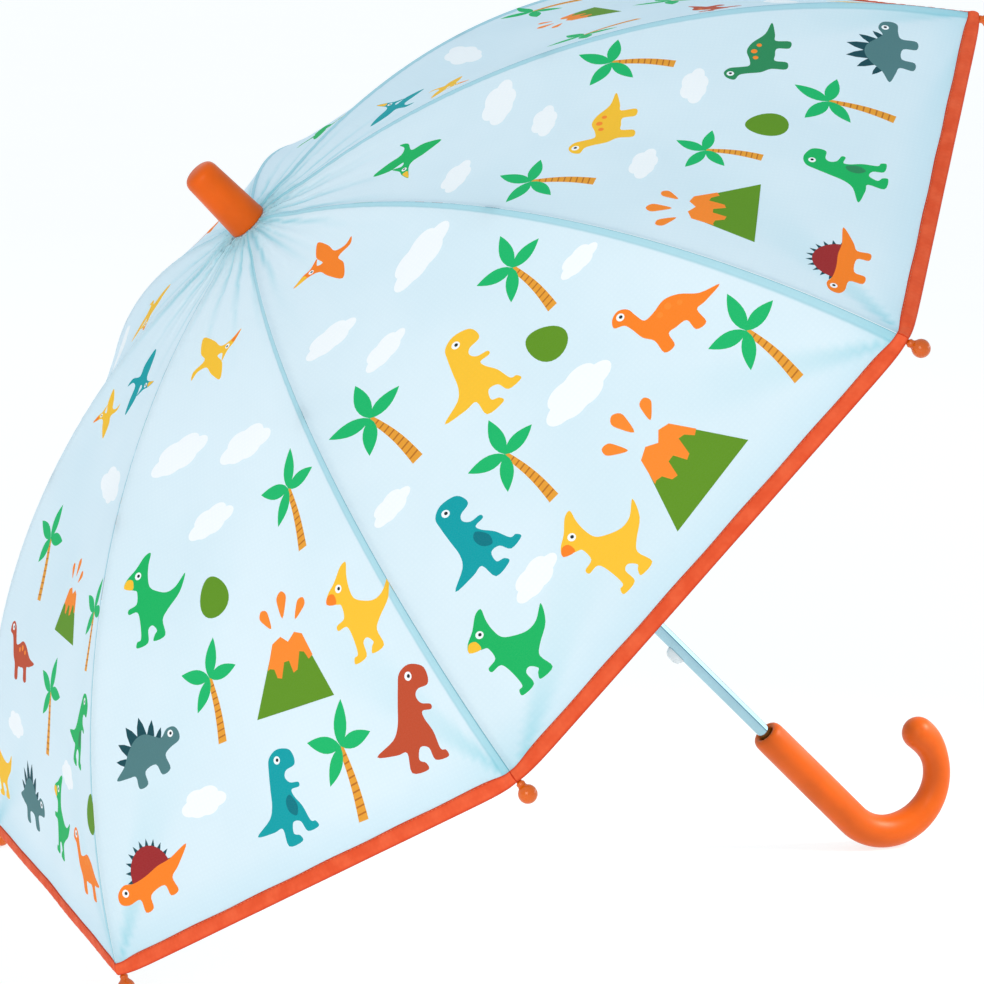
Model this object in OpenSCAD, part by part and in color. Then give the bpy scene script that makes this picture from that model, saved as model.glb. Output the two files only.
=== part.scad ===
// Children's crook-handled umbrella with eight ribs, stored open and lying as it rests
// on two rib tips and its hook. Everything is drawn on the umbrella's own axis
// (ferrule up, +X on the side that faces up once it lies) and put down by lay_down().
// Millimetres.

/* [Canopy] */
// radius from the shaft to the end of a rib
rim_radius = 350; // [300:1:400]
// radius of the arc that an open rib bends to
rib_arc_radius = 435; // [380:1:520]
// how far a hinge stands from the shaft's axis, at the crown and at the runner
pivot_radius = 9; // [8:0.1:11]
// thickness of the cloth as a solid
cloth_thickness = 0.6; // [0.4:0.1:1.5]
// gap kept between the cloth and its neighbours
cloth_gap = 0.15; // [0.1:0.05:0.5]
// flat steps that each gore's curve is made in
gore_steps = 14; // [8:1:24]
// distance from the shaft at which the gores start
gore_start_radius = 14; // [13:0.5:18]

/* [Ribs and stretchers] */
rib_wire_radius = 1.3; // [0.9:0.05:2]
stretcher_radius = 1.1; // [0.8:0.05:1.6]
// length of a stretcher, and distance from the crown hinge to the stretcher's joint
stretcher_length = 173; // [150:1:190]
// how far the stretcher's pin lies under the rib
bracket_drop = 5; // [4.6:0.1:7]
eye_radius = 2.1; // [1.8:0.05:2.4]
eye_width = 2.8; // [2.4:0.05:3.2]
pin_radius = 0.8; // [0.6:0.05:1]
// eye and cheeks round the upper pin, kept low because the cloth passes over them
upper_eye_radius = 1.3; // [1.2:0.05:1.5]
// clearance of each running fit
running_gap = 0.05; // [0.02:0.01:0.1]
cheek_thickness = 0.8; // [0.6:0.05:1.2]
cheek_gap = 0.1; // [0.05:0.01:0.2]

/* [Shaft and handle] */
shaft_radius = 3.8; // [3.5:0.1:4.5]
shaft_wall = 0.5; // [0.4:0.05:0.8]
// heights on the umbrella's axis, from the crown hinges
handle_mouth = -424; // [-440:1:-400]
handle_bend = -504; // [-520:1:-480]
hook_radius = 31.5; // [28:0.5:36]
hook_turn = 188; // [170:1:200]
handle_mouth_radius = 8.9; // [8:0.1:10]
handle_grip_radius = 9.5; // [8.5:0.1:11]
hook_end_radius = 9.5; // [8:0.1:11]

/* [Ferrule cap and tips] */
cap_length = 40.5; // [35:0.5:50]
cap_base_radius = 10.8; // [10:0.1:12]
cap_top_radius = 9.15; // [8:0.05:10]
cap_edge = 2.5; // [1:0.1:4]
ball_radius = 4.5; // [4:0.1:6]
// distance from the end of a rib to the middle of its ball
ball_reach = 13; // [10:0.5:16]

/* [Runner and catches] */
runner_sleeve_length = 34; // [28:1:44]
runner_sleeve_radius = 6.5; // [6:0.1:8]
flange_radius = 12; // [11.5:0.1:14]
bottom_catch_height = -349; // [-352:1:-346]
catch_length = 12; // [10:0.5:14]
catch_thickness = 2.4; // [2:0.1:2.8]
// distance from the axis to the outside of a catch
catch_reach = 8.2; // [7:0.1:8.4]

/* [Hidden] */
$fn = 64;

ribs = 8;
rib_step = 360 / ribs;
half_step = rib_step / 2;
eps = 0.01;

wire_ring_radius = 0.5;
wire_hole_radius = 0.65;
slot_width = eye_width + 0.4;
hub_core_radius = 6.2;
hub_half_height = 3.3;
patch_thickness = 0.8;
patch_radius = 16;

rib_end_angle = asin((rim_radius - pivot_radius) / rib_arc_radius);
joint_reach = rib_arc_radius - bracket_drop;
joint_angle = acos((joint_reach * joint_reach + rib_arc_radius * rib_arc_radius
    - stretcher_length * stretcher_length) / (2 * joint_reach * rib_arc_radius));
joint_r = pivot_radius + joint_reach * sin(joint_angle);
joint_z = joint_reach * cos(joint_angle) - rib_arc_radius;
runner_z = 2 * joint_z;
stretcher_slope = atan2(-joint_z, joint_r - pivot_radius);

cloth_under = rib_wire_radius + 0.75;
gore_start_angle = asin((gore_start_radius - pivot_radius) / rib_arc_radius);

cheek_out = eye_width / 2 + cheek_gap + cheek_thickness;
block_near = 3.2;
block_far = 7;
stub_length = 4;

cap_base = hub_half_height + patch_thickness;
shaft_top = cap_base + 26;
shaft_bottom = handle_mouth - 46;
top_catch_height = runner_z - runner_sleeve_length - catch_length / 2 - 1.5;

// tubes that the hook narrows through: from, to (degrees of bend), radius
hook_parts = [
    [0, 62, handle_grip_radius],
    [62, 98, handle_grip_radius - 0.3],
    [98, 126, handle_grip_radius - 0.7],
    [126, 150, handle_grip_radius - 1.2],
    [150, hook_turn - 8, handle_grip_radius - 1.8]
];

// how it lies: one line touches the two lower balls and the outside of the hook
ball_r = rim_radius + ball_reach * cos(rib_end_angle);
ball_z = rib_arc_radius * (cos(rib_end_angle) - 1) - ball_reach * sin(rib_end_angle);
low_ball_x = -ball_r * cos(half_step);
hook_outer = hook_radius + handle_grip_radius;
span_x = hook_radius - low_ball_x;
span_z = ball_z - handle_bend;
span = sqrt(span_x * span_x + span_z * span_z);
lie_angle = atan2(span_x, span_z) - asin((hook_outer - ball_radius) / span);
floor_lift = ball_radius - low_ball_x * cos(lie_angle) - ball_z * sin(lie_angle);
back_end = low_ball_x * sin(lie_angle) - ball_z * cos(lie_angle) - ball_radius;
front_end = hook_radius * sin(lie_angle) - handle_bend * cos(lie_angle)
    + hook_radius + handle_grip_radius - 1.2;
floor_shift = -(back_end + front_end) / 2;

module lay_down() {
    translate([floor_shift, 0, floor_lift]) rotate([0, lie_angle - 90, 0]) children();
}

// turns a shape drawn for the +X direction to rib i (1 to 8)
module at_rib(i) {
    rotate([0, 0, half_step + rib_step * (i - 1)]) children();
}

// a round bar along the rib's arc, between two angles from the crown
module rib_arc(from, to, r) {
    translate([pivot_radius, 0, -rib_arc_radius])
        rotate([0, to - 90, 0]) rotate([90, 0, 0])
            rotate_extrude(angle = to - from) translate([rib_arc_radius, 0]) circle(r = r);
}

// puts a shape on the rib's arc: +X along the rib to the tip, +Z out of the dome
module on_rib(angle) {
    translate([pivot_radius, 0, -rib_arc_radius]) rotate([0, angle, 0])
        translate([0, 0, rib_arc_radius]) children();
}

// a round bar across the rib
module across(r, width) {
    rotate([90, 0, 0]) cylinder(r = r, h = width, center = true);
}

module box(x1, x2, half_width, z1, z2) {
    translate([x1, -half_width, z1]) cube([x2 - x1, 2 * half_width, z2 - z1]);
}

module ring(radius, r) {
    rotate_extrude() translate([radius, 0]) circle(r = r);
}

module shaft_tube() {
    color([0.75, 0.78, 0.8]) lay_down() difference() {
        translate([0, 0, shaft_bottom]) cylinder(r = shaft_radius, h = shaft_top - shaft_bottom);
        translate([0, 0, shaft_bottom - 1])
            cylinder(r = shaft_radius - shaft_wall, h = shaft_top - shaft_bottom + 2);
        for (z = [top_catch_height, bottom_catch_height])
            translate([0, 0, z])
                box(-shaft_radius - 1, -1, catch_thickness / 2 + 0.1,
                    -catch_length / 2 - 0.2, catch_length / 2 + 0.2);
    }
}

module handle() {
    recess_radius = shaft_radius + 2.6;
    recess_depth = 9;
    lip = 1.2;
    color([0.93, 0.42, 0.12]) lay_down() difference() {
        union() {
            rotate_extrude() polygon([
                [0, handle_bend], [handle_grip_radius, handle_bend],
                [handle_mouth_radius, handle_mouth - lip],
                [handle_mouth_radius - lip * 0.35, handle_mouth - lip * 0.3],
                [handle_mouth_radius - lip, handle_mouth], [0, handle_mouth]
            ]);
            for (p = hook_parts)
                translate([hook_radius, 0, handle_bend])
                    rotate([0, -180 - p[0], 0]) rotate([90, 0, 0])
                        rotate_extrude(angle = p[1] - p[0] + 0.2)
                            translate([hook_radius, 0]) circle(r = p[2]);
            translate([hook_radius * (1 - cos(hook_turn)), 0,
                       handle_bend - hook_radius * sin(hook_turn)])
                sphere(r = hook_end_radius);
        }
        translate([0, 0, handle_mouth - recess_depth])
            cylinder(r = recess_radius, h = recess_depth + 1);
        translate([0, 0, shaft_bottom]) cylinder(r = shaft_radius, h = handle_mouth - shaft_bottom);
    }
}

module ferrule_cap() {
    edge_steps = 5;
    dome = 0.7;
    color([0.93, 0.4, 0.1]) lay_down() translate([0, 0, cap_base]) difference() {
        rotate_extrude() polygon(concat(
            [[0, 0], [cap_base_radius - 0.6, 0], [cap_base_radius, 0.6]],
            [for (i = [0:edge_steps])
                [cap_top_radius - cap_edge + cap_edge * cos(90 * i / edge_steps),
                 cap_length - dome - cap_edge + cap_edge * sin(90 * i / edge_steps)]],
            [[0, cap_length]]));
        translate([0, 0, -1]) cylinder(r = shaft_radius, h = shaft_top - cap_base + 1);
    }
}

module crown_patch() {
    color([0.8, 0.92, 0.97]) lay_down() translate([0, 0, hub_half_height]) difference() {
        cylinder(r = patch_radius, h = patch_thickness);
        translate([0, 0, -1]) cylinder(r = shaft_radius, h = patch_thickness + 2);
    }
}

module crown_hub() {
    groove = wire_ring_radius + running_gap;
    color([0.95, 0.95, 0.93]) lay_down() difference() {
        translate([0, 0, -hub_half_height]) cylinder(r = flange_radius, h = 2 * hub_half_height);
        translate([0, 0, -hub_half_height - 1])
            cylinder(r = shaft_radius, h = 2 * hub_half_height + 2);
        ring(pivot_radius, groove);
        for (i = [1:ribs]) at_rib(i)
            box(hub_core_radius, flange_radius + 1, slot_width / 2,
                -hub_half_height - 1, eye_radius + 0.3);
    }
}

module crown_wire() {
    color([0.7, 0.72, 0.74]) lay_down() ring(pivot_radius, wire_ring_radius);
}

module runner() {
    groove = wire_ring_radius + running_gap;
    keyway = catch_thickness / 2 + 0.3;
    foot = -hub_half_height - runner_sleeve_length;
    color([0.95, 0.95, 0.93]) lay_down() translate([0, 0, runner_z]) difference() {
        union() {
            translate([0, 0, -hub_half_height])
                cylinder(r = flange_radius, h = 2 * hub_half_height);
            translate([0, 0, foot])
                cylinder(r = runner_sleeve_radius, h = runner_sleeve_length + 1);
            translate([0, 0, foot]) cylinder(r = runner_sleeve_radius + 1.2, h = 4);
        }
        translate([0, 0, foot - 1]) cylinder(r = shaft_radius + 0.08, h = 60);
        ring(pivot_radius, groove);
        for (i = [1:ribs]) at_rib(i)
            box(hub_core_radius, flange_radius + 1, slot_width / 2,
                -eye_radius - 0.3, hub_half_height + 1);
        // the way past the catches
        box(-catch_reach - 0.15, 0, keyway, foot - 1, hub_half_height + 1);
    }
}

module runner_wire() {
    color([0.7, 0.72, 0.74]) lay_down() translate([0, 0, runner_z])
        ring(pivot_radius, wire_ring_radius);
}

// a flat sprung tab that stands out of the shaft on its lower side
module catch_tab(height) {
    corner = 2.6;
    back = 1.6;
    shoulder = 1;
    color([0.93, 0.94, 0.95]) lay_down() translate([0, 0, height])
        rotate([90, 0, 0]) linear_extrude(height = catch_thickness, center = true) union() {
            for (s = [-1, 1])
                translate([corner - catch_reach, s * (catch_length / 2 - corner)])
                    circle(r = corner);
            translate([corner - catch_reach, -catch_length / 2])
                square([catch_reach - corner - back, catch_length]);
            translate([-catch_reach, corner - catch_length / 2])
                square([corner + 0.5, catch_length - 2 * corner]);
            translate([-back - shoulder, -catch_length / 2 - 2])
                square([shoulder, catch_length + 4]);
        }
}

module top_catch() { catch_tab(top_catch_height); }
module bottom_catch() { catch_tab(bottom_catch_height); }

// inner part of a rib: crown eye, wire, and the bracket with its two pins
module rib_inner(i) {
    color([0.8, 0.82, 0.84]) lay_down() at_rib(i) {
        difference() {
            union() {
                translate([pivot_radius, 0, 0]) across(eye_radius, eye_width);
                rib_arc(0.15, joint_angle - asin(4.5 / rib_arc_radius), rib_wire_radius);
            }
            translate([pivot_radius, 0, 0]) across(wire_hole_radius, eye_width + 2);
        }
        on_rib(joint_angle) {
            box(-block_far, -block_near, cheek_out, -2, upper_eye_radius);
            for (s = [-1, 1]) translate([0, s * (cheek_out - cheek_thickness / 2), 0]) {
                across(upper_eye_radius, cheek_thickness);
                translate([0, 0, -bracket_drop]) across(2.4, cheek_thickness);
                box(-2.4, 2.4, cheek_thickness / 2, -bracket_drop, 0);
                box(-block_near - 1, 0, cheek_thickness / 2, -2, upper_eye_radius);
            }
            across(pin_radius, 2 * cheek_out + 0.6);
            translate([0, 0, -bracket_drop]) across(pin_radius, 2 * cheek_out + 0.6);
        }
    }
}

// outer part of a rib: eye on the bracket's upper pin, wire, and the stub for the tip
module rib_outer(i) {
    color([0.8, 0.82, 0.84]) lay_down() at_rib(i) difference() {
        union() {
            on_rib(joint_angle) across(upper_eye_radius, eye_width);
            rib_arc(joint_angle + 0.1, rib_end_angle, rib_wire_radius);
            on_rib(rib_end_angle) rotate([0, 90, 0])
                cylinder(r = rib_wire_radius, h = stub_length);
        }
        on_rib(joint_angle) across(pin_radius + running_gap, eye_width + 2);
    }
}

module stretcher(i) {
    color([0.8, 0.82, 0.84]) lay_down() at_rib(i)
        translate([pivot_radius, 0, runner_z]) rotate([0, -stretcher_slope, 0]) difference() {
            union() {
                across(eye_radius, eye_width);
                translate([stretcher_length, 0, 0]) across(eye_radius, eye_width);
                translate([1, 0, 0]) rotate([0, 90, 0])
                    cylinder(r = stretcher_radius, h = stretcher_length - 2);
            }
            across(wire_hole_radius, eye_width + 2);
            translate([stretcher_length, 0, 0]) across(pin_radius + running_gap, eye_width + 2);
        }
}

// ball tip with its neck and collar, socketed on the rib's stub
module tip(i) {
    neck = 1.9;
    collar = 2.7;
    color([0.93, 0.42, 0.12]) lay_down() at_rib(i) on_rib(rib_end_angle) rotate([0, 90, 0])
        difference() {
            union() {
                cylinder(r = neck, h = ball_reach);
                cylinder(r = collar, h = 2.2);
                translate([0, 0, ball_reach - ball_radius - 0.9]) cylinder(r = collar, h = 1.6);
                translate([0, 0, ball_reach]) sphere(r = ball_radius);
            }
            translate([0, 0, -1]) cylinder(r = rib_wire_radius, h = stub_length + 1);
        }
}

// a strip of the dome's side profile, from one arc angle to another
module gore_profile(from, to, low, high, steps) {
    k = cos(half_step);
    polygon(concat(
        [for (j = [0:steps]) let (a = from + (to - from) * j / steps)
            [k * (pivot_radius + (rib_arc_radius + high) * sin(a)),
             (rib_arc_radius + high) * cos(a) - rib_arc_radius]],
        [for (j = [steps:-1:0]) let (a = from + (to - from) * j / steps)
            [k * (pivot_radius + (rib_arc_radius + low) * sin(a)),
             (rib_arc_radius + low) * cos(a) - rib_arc_radius]]));
}

// half a gore, from rib i to the middle line towards the next rib (side 1) or the last (-1)
module gore_half(i, side) {
    far = rim_radius * 1.3;
    color([0.78, 0.9, 0.96]) lay_down() at_rib(i) rotate([0, 0, side * half_step])
        intersection() {
            rotate([90, 0, 0]) linear_extrude(height = far, center = true)
                gore_profile(gore_start_angle, rib_end_angle, cloth_under,
                    cloth_under + cloth_thickness, gore_steps);
            translate([0, 0, -far / 2]) linear_extrude(height = far) polygon([
                [cloth_gap * 3, -side * cloth_gap],
                [far, -side * cloth_gap],
                [far, -side * (far * tan(half_step) - cloth_gap / cos(half_step))]
            ]);
        }
}

// closing strap, lying on the outside of a gore that faces away
module tie_strap() {
    width = 20;
    inset = 22;
    from = 35;
    to = 50;
    color([0.78, 0.9, 0.96]) lay_down() at_rib(2) rotate([0, 0, half_step])
        translate([0, -inset, 0]) rotate([90, 0, 0]) linear_extrude(height = width)
            gore_profile(from, to, cloth_under + cloth_thickness + 0.25,
                cloth_under + cloth_thickness + 1.25, 5);
}

shaft_tube();
handle();
ferrule_cap();
crown_patch();
crown_hub();
crown_wire();
runner();
runner_wire();
top_catch();
bottom_catch();
tie_strap();
rib_inner(1);  // rib_inner_1
rib_inner(2);  // rib_inner_2
rib_inner(3);  // rib_inner_3
rib_inner(4);  // rib_inner_4
rib_inner(5);  // rib_inner_5
rib_inner(6);  // rib_inner_6
rib_inner(7);  // rib_inner_7
rib_inner(8);  // rib_inner_8
rib_outer(1);  // rib_outer_1
rib_outer(2);  // rib_outer_2
rib_outer(3);  // rib_outer_3
rib_outer(4);  // rib_outer_4
rib_outer(5);  // rib_outer_5
rib_outer(6);  // rib_outer_6
rib_outer(7);  // rib_outer_7
rib_outer(8);  // rib_outer_8
stretcher(1);  // stretcher_1
stretcher(2);  // stretcher_2
stretcher(3);  // stretcher_3
stretcher(4);  // stretcher_4
stretcher(5);  // stretcher_5
stretcher(6);  // stretcher_6
stretcher(7);  // stretcher_7
stretcher(8);  // stretcher_8
tip(1);  // tip_1
tip(2);  // tip_2
tip(3);  // tip_3
tip(4);  // tip_4
tip(5);  // tip_5
tip(6);  // tip_6
tip(7);  // tip_7
tip(8);  // tip_8
gore_half(1, -1);  // gore_1a
gore_half(1, 1);  // gore_1b
gore_half(2, -1);  // gore_2a
gore_half(2, 1);  // gore_2b
gore_half(3, -1);  // gore_3a
gore_half(3, 1);  // gore_3b
gore_half(4, -1);  // gore_4a
gore_half(4, 1);  // gore_4b
gore_half(5, -1);  // gore_5a
gore_half(5, 1);  // gore_5b
gore_half(6, -1);  // gore_6a
gore_half(6, 1);  // gore_6b
gore_half(7, -1);  // gore_7a
gore_half(7, 1);  // gore_7b
gore_half(8, -1);  // gore_8a
gore_half(8, 1);  // gore_8b
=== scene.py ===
"""Children's crook-handled umbrella, open and lying on two rib tips and its hook.

Everything is worked out in millimetres on the umbrella's own axis (ferrule up, +X on the
side that faces up once it lies) and put down by row(), in the same frame as the CAD.
"""
import math

import bpy
import numpy as np
from mathutils import Euler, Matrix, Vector
from mathutils.geometry import delaunay_2d_cdt


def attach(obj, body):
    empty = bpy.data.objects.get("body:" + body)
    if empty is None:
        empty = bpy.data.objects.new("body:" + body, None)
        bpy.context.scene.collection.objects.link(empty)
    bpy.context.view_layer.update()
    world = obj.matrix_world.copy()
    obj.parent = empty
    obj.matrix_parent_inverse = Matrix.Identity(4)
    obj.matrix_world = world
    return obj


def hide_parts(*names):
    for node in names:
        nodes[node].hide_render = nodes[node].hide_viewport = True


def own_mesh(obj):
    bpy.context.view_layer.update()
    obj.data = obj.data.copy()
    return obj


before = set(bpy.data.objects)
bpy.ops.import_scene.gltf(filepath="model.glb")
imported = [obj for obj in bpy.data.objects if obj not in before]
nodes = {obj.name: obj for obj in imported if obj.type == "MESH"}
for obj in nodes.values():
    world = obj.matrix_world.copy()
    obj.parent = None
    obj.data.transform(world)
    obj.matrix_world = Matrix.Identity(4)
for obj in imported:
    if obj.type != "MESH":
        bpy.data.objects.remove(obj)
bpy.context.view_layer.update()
scene = bpy.context.scene

# ---------------- the umbrella's figures
RIBS = 8
HALF_STEP = math.pi / RIBS
RIM_R = 350.0
ARC_R = 435.0
PIVOT_R = 9.0
CLOTH_LIFT = 2.35  # the cloth's middle, outside the ribs' centre lines
CLOTH_R = ARC_R + CLOTH_LIFT
STRETCHER = 173.0
DROP = 5.0
WIRE_R = 1.3
BALL_R = 4.5
BALL_REACH = 13.0
RIM_OUT = 5.6  # the hem covers the rib's end and the tip's socket
SHAFT_R = 3.8
MOUTH_Z = -424.0
BEND_Z = -504.0
HOOK_R = 31.5
HOOK_TURN = math.radians(188)
GRIP_R = 9.5
MOUTH_R = 9.2
NECK_R = 7.9
BULB_R = 9.5
START_R = 9.6

rib_end = math.asin((RIM_R - PIVOT_R) / ARC_R)
joint_reach = ARC_R - DROP
joint_angle = math.acos(
    (joint_reach**2 + ARC_R**2 - STRETCHER**2) / (2 * joint_reach * ARC_R)
)
joint_z = joint_reach * math.cos(joint_angle) - ARC_R
runner_z = 2 * joint_z
top_catch_z = runner_z - 41.5
bottom_catch_z = -349.0

ball_r = RIM_R + BALL_REACH * math.cos(rib_end)
ball_z = ARC_R * (math.cos(rib_end) - 1) - BALL_REACH * math.sin(rib_end)
low_x = -ball_r * math.cos(HALF_STEP)
span_x, span_z = HOOK_R - low_x, ball_z - BEND_Z
lie = math.atan2(span_x, span_z) - math.asin(
    (HOOK_R + GRIP_R - BALL_R) / math.hypot(span_x, span_z)
)
lift = BALL_R - low_x * math.cos(lie) - ball_z * math.sin(lie)
back_end = low_x * math.sin(lie) - ball_z * math.cos(lie) - BALL_R
front_end = HOOK_R * math.sin(lie) - BEND_Z * math.cos(lie) + HOOK_R + GRIP_R - 1.2
tilt = lie - math.pi / 2
TURN = np.array(
    [
        [math.cos(tilt), 0, math.sin(tilt)],
        [0, 1, 0],
        [-math.sin(tilt), 0, math.cos(tilt)],
    ]
)
SHIFT = np.array([-(back_end + front_end) / 2, 0, lift])


def row(p):
    """Points on the umbrella's axis, in mm, as points of the row frame, in metres."""
    return (np.asarray(p, float) @ TURN.T + SHIFT) / 1000


def way(v):
    """A direction on the umbrella's axis, in the row frame."""
    return np.asarray(v, float) @ TURN.T


def spin(a):
    return np.array(
        [[math.cos(a), -math.sin(a), 0], [math.sin(a), math.cos(a), 0], [0, 0, 1]]
    )


def rib_turn(i):
    return spin(HALF_STEP + 2 * HALF_STEP * (i - 1))


def arc_point(a):
    """Points on a rib's arc, in the rib's own plane."""
    a = np.asarray(a, float)
    return np.stack(
        [PIVOT_R + ARC_R * np.sin(a), np.zeros_like(a), ARC_R * np.cos(a) - ARC_R], -1
    )


ACROSS = np.array([0, 1.0, 0])  # across a rib, or across the crook
CROWN = np.array([PIVOT_R, 0, 0])


# ---------------- the camera
cam_data = bpy.data.cameras.new("camera")
cam = bpy.data.objects.new("camera", cam_data)
scene.collection.objects.link(cam)
cam.location = (-0.7039, -1.7825, 0.5730)
cam.rotation_euler = Euler([math.radians(a) for a in (80.771, -1.738, -21.413)], "XYZ")
cam_data.sensor_width = 36
cam_data.lens = 130.403
cam_data.shift_x = -0.0523
cam_data.shift_y = -0.0798
cam_data.clip_start = 0.05
cam_data.clip_end = 60
scene.camera = cam


def link(obj):
    scene.collection.objects.link(obj)
    return obj


# ---------------- materials
def linear(rgb):
    c = np.asarray(rgb, float) / 255
    return tuple(np.where(c <= 0.04045, c / 12.92, ((c + 0.055) / 1.055) ** 2.4)) + (1,)


class Nodes:
    """Builds one material's nodes; every method gives an output socket to use next."""

    def __init__(self, name):
        self.mat = bpy.data.materials.new(name)
        self.mat.use_nodes = True
        self.tree = self.mat.node_tree
        self.tree.nodes.clear()
        self.out = self.add("ShaderNodeOutputMaterial")

    def add(self, kind, sockets=None, **sets):
        """A node with its settings, each socket given a value or linked to an output."""
        n = self.tree.nodes.new(kind)
        for key, value in sets.items():
            setattr(n, key, value)
        for key, value in (sockets or {}).items():
            if isinstance(value, (int, float, tuple)):
                n.inputs[key].default_value = value
            else:
                self.link(value, n.inputs[key])
        return n

    def shader(self, rough, driven, **sockets):
        """A Principled shader from constants, then the sockets that outputs drive."""
        constants = {key.replace("_", " "): value for key, value in sockets.items()}
        p = self.add("ShaderNodeBsdfPrincipled", {"Roughness": rough, **constants})
        for key, output in driven.items():
            self.link(output, p.inputs[key])
        return p.outputs[0]

    def coords(self, kind="Object"):
        return self.add("ShaderNodeTexCoord").outputs[kind]

    def noise(self, vector, scale, detail=3, rough=0.5):
        sockets = {"Scale": scale, "Detail": detail, "Roughness": rough, "Vector": vector}
        return self.add("ShaderNodeTexNoise", sockets).outputs["Fac"]

    def wave(self, vector, scale, direction):
        return self.add(
            "ShaderNodeTexWave", {"Scale": scale, "Vector": vector},
            bands_direction=direction,
        ).outputs["Fac"]

    def math(self, op, a, b):
        return self.add("ShaderNodeMath", {0: a, 1: b}, operation=op).outputs[0]

    def span(self, value, a, b, lo, hi):
        """The value eased from the range a to b into the range lo to hi."""
        sockets = {
            "Value": value, "From Min": a, "From Max": b, "To Min": lo, "To Max": hi,
        }
        n = self.add("ShaderNodeMapRange", sockets, interpolation_type="SMOOTHSTEP")
        return n.outputs[0]

    def mix(self, fac, a, b, blend="MIX"):
        sockets = {0: fac, 6: a, 7: b}
        n = self.add("ShaderNodeMix", sockets, data_type="RGBA", blend_type=blend)
        return n.outputs[2]

    def attribute(self, name, output="Fac"):
        return self.add("ShaderNodeAttribute", attribute_name=name).outputs[output]

    def bump(self, height, strength, distance, normal=None):
        sockets = {"Strength": strength, "Distance": distance, "Height": height}
        if normal is not None:
            sockets["Normal"] = normal
        return self.add("ShaderNodeBump", sockets).outputs[0]

    def link(self, output, socket):
        self.tree.links.new(output, socket)

    def done(self, surface):
        self.link(surface, self.out.inputs["Surface"])
        return self.mat


def weave(m, uv, threads):
    """Height of a plain weave with that many threads to a metre."""
    across = m.wave(uv, threads / 20, "X")
    along = m.wave(uv, threads / 20, "Y")
    return m.math("MULTIPLY", across, along)


def cloth_material(name, printed):
    m = Nodes(name)
    uv = m.coords("UV")
    soft = m.noise(m.coords(), 9, 3)
    base = m.mix(
        m.span(soft, 0.3, 0.7, 0, 1), linear((219, 237, 247)), linear((226, 241, 250))
    )
    fine = m.noise(uv, 1400, 2, 0.7)
    if printed:
        seam, fold_painted_shade, rim = (m.attribute(name) for name in ("seam", "fold_painted_shade", "rim"))
        hem = m.span(rim, 6.0, 30.0, 0.3, 0)
        base = m.mix(hem, base, linear((186, 224, 241)))
        # painted shade: darker teal where the cloth gathers in creases, round the crown and
        # near the tips
        base = m.mix(fold_painted_shade, base, linear((106, 203, 219)))
        allowance = m.span(seam, 0.75, 1.3, 0.5, 0)
        base = m.mix(allowance, base, linear((128, 210, 226)))
        near = m.span(seam, 0.0, 0.13, 0.8, 0)
        far = m.math(
            "MULTIPLY", m.span(seam, 0.7, 0.95, 0, 1), m.span(seam, 0.95, 1.2, 0.22, 0)
        )
        base = m.mix(m.math("MAXIMUM", near, far), base, linear((92, 172, 192)))
        ink, printed_on = m.attribute("ink", "Color"), m.attribute("ink", "Alpha")
        tone = m.mix(m.span(fine, 0.25, 0.75, 0, 0.015), ink, (1, 1, 1, 1))
        base = m.mix(printed_on, base, tone)
    threads = weave(m, uv, 2600)
    gaps = m.span(threads, 0, 1, 0.25, 0)
    colour = m.mix(gaps, base, (0.92, 0.95, 0.97, 1), "MULTIPLY")
    relief = m.bump(threads, 0.06, 0.0001)
    relief = m.bump(m.noise(uv, 60, 3), 0.1, 0.0006, relief)
    rough = m.span(fine, 0.2, 0.8, 0.54, 0.7)
    surface = m.shader(
        0.62, {"Base Color": colour, "Roughness": rough, "Normal": relief},
        Specular_IOR_Level=0.1,
    )
    through = m.add("ShaderNodeBsdfTranslucent", {"Color": colour, "Normal": relief})
    blend = m.add("ShaderNodeMixShader", {0: 0.24, 1: surface, 2: through.outputs[0]})
    return m.done(blend.outputs[0])


def ribbon_material():
    """Orange ribbon, with painted shade along its folded edges."""
    m = Nodes("binding_cloth")
    uv = m.coords("UV")
    across = m.attribute("across")
    # painted shade: the ribbon's colour turns darker towards its folded edges and stays
    # light in its middle
    middle = m.math(
        "MULTIPLY", m.span(across, 0.0, 0.32, 0, 1), m.span(across, 0.68, 1.0, 1, 0)
    )
    worn = m.noise(uv, 90, 3)
    patches = m.span(worn, 0.3, 0.7, 0, 1)
    light = m.mix(patches, linear((240, 100, 60)), linear((230, 86, 48)))
    colour = m.mix(middle, linear((205, 58, 28)), light)
    threads = weave(m, uv, 2200)
    colour = m.mix(m.span(threads, 0, 1, 0.06, 0), colour, linear((170, 45, 20)))
    relief = m.bump(threads, 0.1, 0.0002)
    relief = m.bump(m.noise(uv, 160, 2), 0.2, 0.0006, relief)
    rough = m.span(worn, 0.2, 0.8, 0.58, 0.74)
    return m.done(m.shader(
        0.66, {"Base Color": colour, "Roughness": rough, "Normal": relief},
        Specular_IOR_Level=0.1,
    ))


def thread_material(name, rgb):
    m = Nodes(name)
    twist = m.wave(m.coords(), 900, "DIAGONAL")
    colour = m.mix(twist, linear([c * 0.72 for c in rgb]), linear(rgb))
    relief = m.bump(twist, 0.3, 0.0001)
    return m.done(m.shader(
        0.7, {"Base Color": colour, "Normal": relief}, Specular_IOR_Level=0.3
    ))


def plastic_material(name, rgb, rough, **sockets):
    m = Nodes(name)
    place = m.coords()
    cloud = m.noise(place, 40, 4)
    fine = m.noise(place, 900, 2, 0.6)
    deep = linear([c * 0.93 for c in rgb])
    relief = m.bump(fine, 0.05, 0.0002)
    driven = {
        "Base Color": m.mix(m.span(cloud, 0.3, 0.7, 0, 1), linear(rgb), deep),
        "Roughness": m.span(cloud, 0.2, 0.8, rough * 0.85, rough * 1.2),
        "Normal": m.bump(m.noise(place, 70, 2), 0.06, 0.0008, relief),
    }
    return m.done(m.shader(rough, driven, **sockets))


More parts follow.
